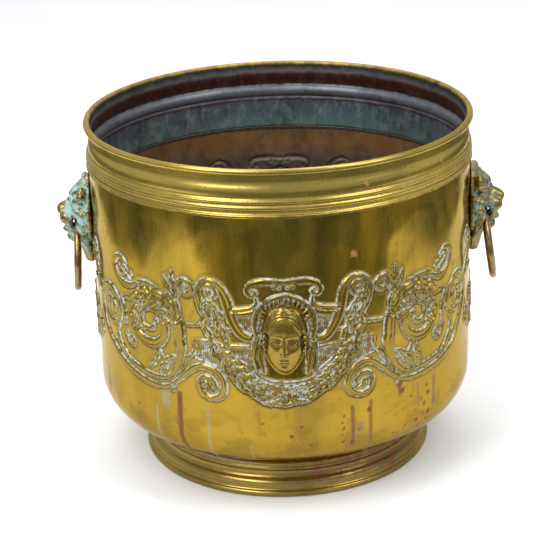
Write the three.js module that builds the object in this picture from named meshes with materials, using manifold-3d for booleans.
// A round brass planter pot: a raised sheet body with a rounded belly, a spun collar with a wired lip,
// a spun foot ring, and two cast lion masks that hold drop rings.
// Millimetres, +Z up. The origin is on the pot's axis, in the plane that the foot stands on.
import * as THREE from "three";
import { mergeVertices } from "three/addons/utils/BufferGeometryUtils.js";
import Module from "manifold-3d";

// Driving dimensions
const HEIGHT = 305.5;
const LIP_RADIUS = 165; // outside of the rolled lip
const WALL_RADIUS = 163.8; // outside of the body's straight wall
const SHEET = 1.2; // sheet thickness of the body and the foot
const COLLAR_SHEET = 1;
const GAP = 0.3; // between pieces that are soldered or pressed together
const TURN_STEPS = 48; // flats round each turned piece

// Body
const FOOT_TOP = 30.7;
const BOTTOM = FOOT_TOP + GAP; // underside of the pot's floor
const FLOOR_RADIUS = 112; // where the floor starts to rise
const BELLY_SLOPE = THREE.MathUtils.degToRad(23);
const BELLY_RADIUS = 36;
const COLLAR_BOTTOM = 266;

// Collar
const LIP_ROLL = 2.75; // outside radius of the rolled edge
const LIP_WIRE = 1.4;
const NECK_RADIUS = 160.6;
const SKIRT_BOTTOM = 243; // lower edge of the part that laps inside the body

// Foot
const FOOT_FLANGE = 127.4;
const FLANGE_BEAD = 3.1;

// Lion masks and rings
const HINGE = new THREE.Vector3(177.6, 0, 209.5); // centre of the ring's wire in the mouth
const RING_RADIUS = 29.5; // to the middle of the wire
const RING_WIRE = 3;
const MOUTH_CLEARANCE = 0.9;
const MOUTH_HALF_WIDTH = 20;
const RING_LEANS = { left: 3.3, right: 8 }; // degrees from plumb, bottom outwards
const STUD_HEIGHTS = { upper: 232, lower: 186 };
const STUD_RADIUS = 2;
const STUD_DEPTH = 3; // how far each stud is let into the mask
const WASHER = { radius: 5, thickness: 0.8 };
const NUT = { acrossFlats: 7, thickness: 3.2 };

const wasm = await Module();
wasm.setup();

const pot = new THREE.Group();

const MATERIALS = {
  sheetBrass: { color: 0xb8922f, roughness: 0.28, metalness: 1 },
  collarBrass: { color: 0xae8c36, roughness: 0.25, metalness: 1 },
  footBrass: { color: 0x8f7434, roughness: 0.35, metalness: 1 },
  castBrass: { color: 0x8f8554, roughness: 0.5, metalness: 0.8 },
  ringBrass: { color: 0x8c6a34, roughness: 0.38, metalness: 1 },
  ironWire: { color: 0x5b5650, roughness: 0.6, metalness: 1 },
  solder: { color: 0x9b9a94, roughness: 0.55, metalness: 0.9 },
  fixingBrass: { color: 0x9c7c3a, roughness: 0.45, metalness: 1 },
};

function addMesh(name, geometry, look) {
  const mesh = new THREE.Mesh(geometry, new THREE.MeshStandardMaterial(MATERIALS[look]));
  mesh.name = name;
  pot.add(mesh);
  return mesh;
}

// An outline of radius and height, drawn as straight stretches and arcs.
class Outline {
  constructor() {
    this.points = [];
  }

  to(radius, height) {
    this.points.push(new THREE.Vector2(radius, height));
    return this;
  }

  // An arc about a centre, from one angle to another in degrees, with 0 pointing outwards and 90 up.
  arc(radius, height, size, from, to, steps) {
    for (let i = 0; i <= steps; i++) {
      const angle = THREE.MathUtils.degToRad(from + ((to - from) * i) / steps);
      this.to(radius + size * Math.cos(angle), height + size * Math.sin(angle));
    }
    return this;
  }

  close() {
    return this.to(this.points[0].x, this.points[0].y);
  }

  turn(steps = TURN_STEPS) {
    return new THREE.LatheGeometry(this.points, steps).rotateX(Math.PI / 2);
  }
}

function toSolid(geometry) {
  const bare = geometry.clone();
  bare.deleteAttribute("normal");
  bare.deleteAttribute("uv");
  const merged = mergeVertices(bare, 1e-3);
  return new wasm.Manifold(
    new wasm.Mesh({
      numProp: 3,
      vertProperties: merged.attributes.position.array,
      triVerts: new Uint32Array(merged.index.array),
    }),
  );
}

function toGeometry(solid) {
  const mesh = solid.getMesh();
  const geometry = new THREE.BufferGeometry();
  geometry.setAttribute("position", new THREE.BufferAttribute(mesh.vertProperties, 3));
  geometry.setIndex(new THREE.BufferAttribute(mesh.triVerts, 1));
  geometry.computeVertexNormals();
  return geometry;
}

// A cylinder that lies along X, between two distances from the pot's axis.
function radialCylinder(radius, from, to, height, steps = 12) {
  return new THREE.CylinderGeometry(radius, radius, to - from, steps)
    .rotateZ(Math.PI / 2)
    .translate((from + to) / 2, 0, height);
}

// The right-hand side is drawn on +X and the left-hand one is the same thing turned half round.
function onSide(geometry, side) {
  return side === "left" ? geometry.rotateZ(Math.PI) : geometry;
}

// Body: one raised shell, open at the top, drilled for the four mask studs.
// The belly's underside rises at a slope and an arc carries it into the wall.
function bellyOutline(outline, inset, steps) {
  const centreRadius = WALL_RADIUS - BELLY_RADIUS;
  const arcStart = centreRadius + BELLY_RADIUS * Math.sin(BELLY_SLOPE);
  const arcLow = BOTTOM + (arcStart - FLOOR_RADIUS) * Math.tan(BELLY_SLOPE);
  const centreHeight = arcLow + BELLY_RADIUS * Math.cos(BELLY_SLOPE);
  const from = THREE.MathUtils.radToDeg(BELLY_SLOPE) - 90;
  return outline.arc(centreRadius, centreHeight, BELLY_RADIUS - inset, from, 0, steps);
}

function bodyGeometry() {
  const steps = 7;
  const outer = new Outline().to(0, BOTTOM).to(FLOOR_RADIUS, BOTTOM);
  bellyOutline(outer, 0, steps).to(WALL_RADIUS, COLLAR_BOTTOM - GAP);
  const inner = new Outline().to(0, BOTTOM + SHEET).to(FLOOR_RADIUS - SHEET / 4, BOTTOM + SHEET);
  bellyOutline(inner, SHEET, steps).to(WALL_RADIUS - SHEET, COLLAR_BOTTOM - GAP);
  outer.points.push(...inner.points.reverse());
  let solid = toSolid(outer.turn());
  for (const side of ["left", "right"]) {
    for (const height of Object.values(STUD_HEIGHTS)) {
      const hole = radialCylinder(STUD_RADIUS + GAP, WALL_RADIUS - 6, WALL_RADIUS + 4, height);
      solid = solid.subtract(toSolid(onSide(hole, side)));
    }
  }
  return toGeometry(solid);
}

// Collar: one spun ring with a skirt inside the body, two beads, a hollow neck and a lip rolled round a wire.
function collarGeometry() {
  const skirt = WALL_RADIUS - SHEET - GAP;
  const rollRadius = LIP_RADIUS - LIP_ROLL;
  const rollHeight = HEIGHT - LIP_ROLL;
  const neckInside = NECK_RADIUS - COLLAR_SHEET;
  return new Outline()
    .to(skirt, SKIRT_BOTTOM)
    .to(skirt, COLLAR_BOTTOM)
    .to(165, COLLAR_BOTTOM)
    .to(164.6, 270.8)
    .arc(163.5, 273.4, 2.4, -50, 50, 2)
    .arc(163.4, 278.2, 1.8, -50, 60, 2)
    .to(162.6, 280.6)
    .to(161.2, 285.5)
    .to(NECK_RADIUS, 291)
    .to(NECK_RADIUS, 299.2)
    // the curled edge stops short of the neck, so that the roll stays open
    .arc(rollRadius, rollHeight, LIP_ROLL - COLLAR_SHEET, 180, -108, 5)
    .arc(rollRadius, rollHeight, LIP_ROLL, -90, 180, 6)
    .to(neckInside, 291)
    .to(160.2, 285.5)
    .to(161.6, 280.9)
    .to(163.4, 278.2)
    .to(162.5, 275.9)
    .to(163.9, 273.4)
    .to(skirt - COLLAR_SHEET, 269.6)
    .to(skirt - COLLAR_SHEET, SKIRT_BOTTOM)
    .close()
    .turn();
}

// Foot: one spun ring with two beads at the top, an ogee, and an edge turned under to stand on.
function footGeometry() {
  const beadRadius = FOOT_FLANGE - FLANGE_BEAD;
  return new Outline()
    .to(119, 0)
    .to(beadRadius, 0)
    .arc(beadRadius, FLANGE_BEAD, FLANGE_BEAD, -60, 60, 3)
    .to(124.4, 7.4)
    .to(123.6, 9.2)
    .to(121.8, 12.6)
    .to(118.9, 15.4)
    .to(118.1, 20.8)
    .arc(117.4, 23.6, 2.2, -50, 50, 2)
    .arc(117, 28, 1.9, -40, 80, 2)
    .to(115.2, FOOT_TOP)
    .to(110.6, FOOT_TOP)
    .to(110.6, FOOT_TOP - SHEET)
    .to(114.6, FOOT_TOP - SHEET)
    .to(116.9, 20.8)
    .to(117.7, 14.8)
    .to(122.4, 8.4)
    .to(123.2, 5.2)
    .to(123.2, SHEET)
    .to(119, SHEET)
    .close()
    .turn();
}

function wireGeometry() {
  return new THREE.TorusGeometry(LIP_RADIUS - LIP_ROLL, LIP_WIRE, 6, TURN_STEPS).translate(
    0,
    0,
    HEIGHT - LIP_ROLL,
  );
}

// A solder fillet of triangular section in the corner below a lapped edge.
function solderGeometry(radius, height, width, drop) {
  return new Outline()
    .to(radius, height)
    .to(radius - width, height)
    .to(radius, height - drop)
    .close()
    .turn();
}

// Lion mask. Each lump is an ellipsoid: centre outwards, centre sideways, centre height, and three half sizes.
const MASK_LUMPS = {
  mane: [166, 0, 222, 8, 32, 31],
  crown: [166.5, 0, 244, 6, 15, 10],
  brow: [170, 0, 232, 12, 19, 17],
  muzzle: [180, 0, 219.5, 15.5, 12.5, 9.5],
  chin: [181, 0, 199.6, 9.7, 9, 7.8],
  throat: [172, 0, 197.5, 9, 8, 7.5],
  beard: [166.5, 0, 187, 4.5, 10, 15.5],
};
const MASK_PAIRS = {
  ear: [167, 22, 241, 6, 7, 7],
  cheek: [173, 12, 212, 10, 9, 12],
  lock: [166, 18, 197, 6, 12, 14],
};

function lumpSolid([outwards, sideways, height, ...halfSizes]) {
  const ball = new THREE.SphereGeometry(1, 10, 6);
  return toSolid(ball.scale(...halfSizes).translate(outwards, sideways, height));
}

// The space that the ring's wire sweeps through the mouth: it widens as the ring curves away from its hinge.
function mouthSolid() {
  const outline = new Outline().to(0, -MOUTH_HALF_WIDTH);
  const steps = 6;
  for (let i = 0; i <= steps; i++) {
    const along = MOUTH_HALF_WIDTH * ((2 * i) / steps - 1);
    const fall = RING_RADIUS - Math.sqrt(RING_RADIUS ** 2 - along ** 2);
    outline.to(RING_WIRE + MOUTH_CLEARANCE + fall, along);
  }
  outline.to(0, MOUTH_HALF_WIDTH);
  const flare = new THREE.LatheGeometry(outline.points, 12);
  return toSolid(flare.translate(HINGE.x, HINGE.y, HINGE.z));
}

function maskGeometry(side) {
  let solid = Object.values(MASK_LUMPS).map(lumpSolid).reduce((sum, lump) => sum.add(lump));
  for (const [outwards, sideways, ...rest] of Object.values(MASK_PAIRS)) {
    solid = solid.add(lumpSolid([outwards, sideways, ...rest]));
    solid = solid.add(lumpSolid([outwards, -sideways, ...rest]));
  }
  const wall = new THREE.CylinderGeometry(WALL_RADIUS + GAP, WALL_RADIUS + GAP, HEIGHT, TURN_STEPS);
  wall.rotateX(Math.PI / 2).translate(0, 0, HEIGHT / 2);
  solid = solid.subtract(toSolid(wall)).subtract(mouthSolid());
  for (const height of Object.values(STUD_HEIGHTS)) {
    const end = WALL_RADIUS + STUD_DEPTH + 2 * GAP;
    solid = solid.subtract(toSolid(radialCylinder(STUD_RADIUS + GAP, WALL_RADIUS - 6, end, height)));
  }
  return onSide(toGeometry(solid), side);
}

// The ring is drawn hanging from its hinge and then leans outwards.
function ringGeometry(side) {
  const ring = new THREE.TorusGeometry(RING_RADIUS, RING_WIRE, 8, 32);
  ring.rotateY(Math.PI / 2).translate(0, 0, -RING_RADIUS);
  ring.rotateY(-THREE.MathUtils.degToRad(RING_LEANS[side]));
  return onSide(ring.translate(HINGE.x, HINGE.y, HINGE.z), side);
}

function washerGeometry(side, height) {
  const outside = WALL_RADIUS - SHEET - GAP - 0.1;
  const inside = outside - WASHER.thickness;
  const disc = toSolid(radialCylinder(WASHER.radius, inside, outside, height));
  const bore = toSolid(radialCylinder(STUD_RADIUS + GAP, inside - 1, outside + 1, height));
  return onSide(toGeometry(disc.subtract(bore)), side);
}

// A hexagon nut with chamfered corners, run up against the washer.
function nutGeometry(side, height) {
  const outside = WALL_RADIUS - SHEET - 2 * GAP - 0.1 - WASHER.thickness;
  const inside = outside - NUT.thickness;
  const cornerRadius = NUT.acrossFlats / Math.sqrt(3);
  const hexagon = toSolid(radialCylinder(cornerRadius, inside, outside, height, 6));
  const chamfer = new Outline()
    .to(0, 0)
    .to(NUT.acrossFlats / 2, 0)
    .to(cornerRadius, 0.35)
    .to(cornerRadius, NUT.thickness - 0.35)
    .to(NUT.acrossFlats / 2, NUT.thickness)
    .to(0, NUT.thickness)
    .turn(12);
  chamfer.rotateY(Math.PI / 2).translate(inside, 0, height);
  const bore = toSolid(radialCylinder(STUD_RADIUS + GAP, inside - 1, outside + 1, height));
  return onSide(toGeometry(hexagon.intersect(toSolid(chamfer)).subtract(bore)), side);
}

function studGeometry(side, height) {
  const nutInside = WALL_RADIUS - SHEET - WASHER.thickness - NUT.thickness;
  const stud = radialCylinder(STUD_RADIUS, nutInside - 3, WALL_RADIUS + STUD_DEPTH, height);
  return onSide(stud, side);
}

addMesh("pot_body", bodyGeometry(), "sheetBrass");
addMesh("rim_collar", collarGeometry(), "collarBrass");
addMesh("rim_wire", wireGeometry(), "ironWire");
addMesh("foot_ring", footGeometry(), "footBrass");
addMesh(
  "collar_solder",
  solderGeometry(WALL_RADIUS - SHEET - GAP, SKIRT_BOTTOM - GAP, 1.6, 3),
  "solder",
);
addMesh("foot_solder", solderGeometry(110.6 - GAP, FOOT_TOP, 2.4, 2.4), "solder");

for (const side of ["left", "right"]) {
  addMesh(`lion_mask_${side}`, maskGeometry(side), "castBrass");
  addMesh(`drop_ring_${side}`, ringGeometry(side), "ringBrass");
  for (const [place, height] of Object.entries(STUD_HEIGHTS)) {
    addMesh(`mask_stud_${side}_${place}`, studGeometry(side, height), "fixingBrass");
    addMesh(`mask_washer_${side}_${place}`, washerGeometry(side, height), "fixingBrass");
    addMesh(`mask_nut_${side}_${place}`, nutGeometry(side, height), "fixingBrass");
  }
}

export default pot;
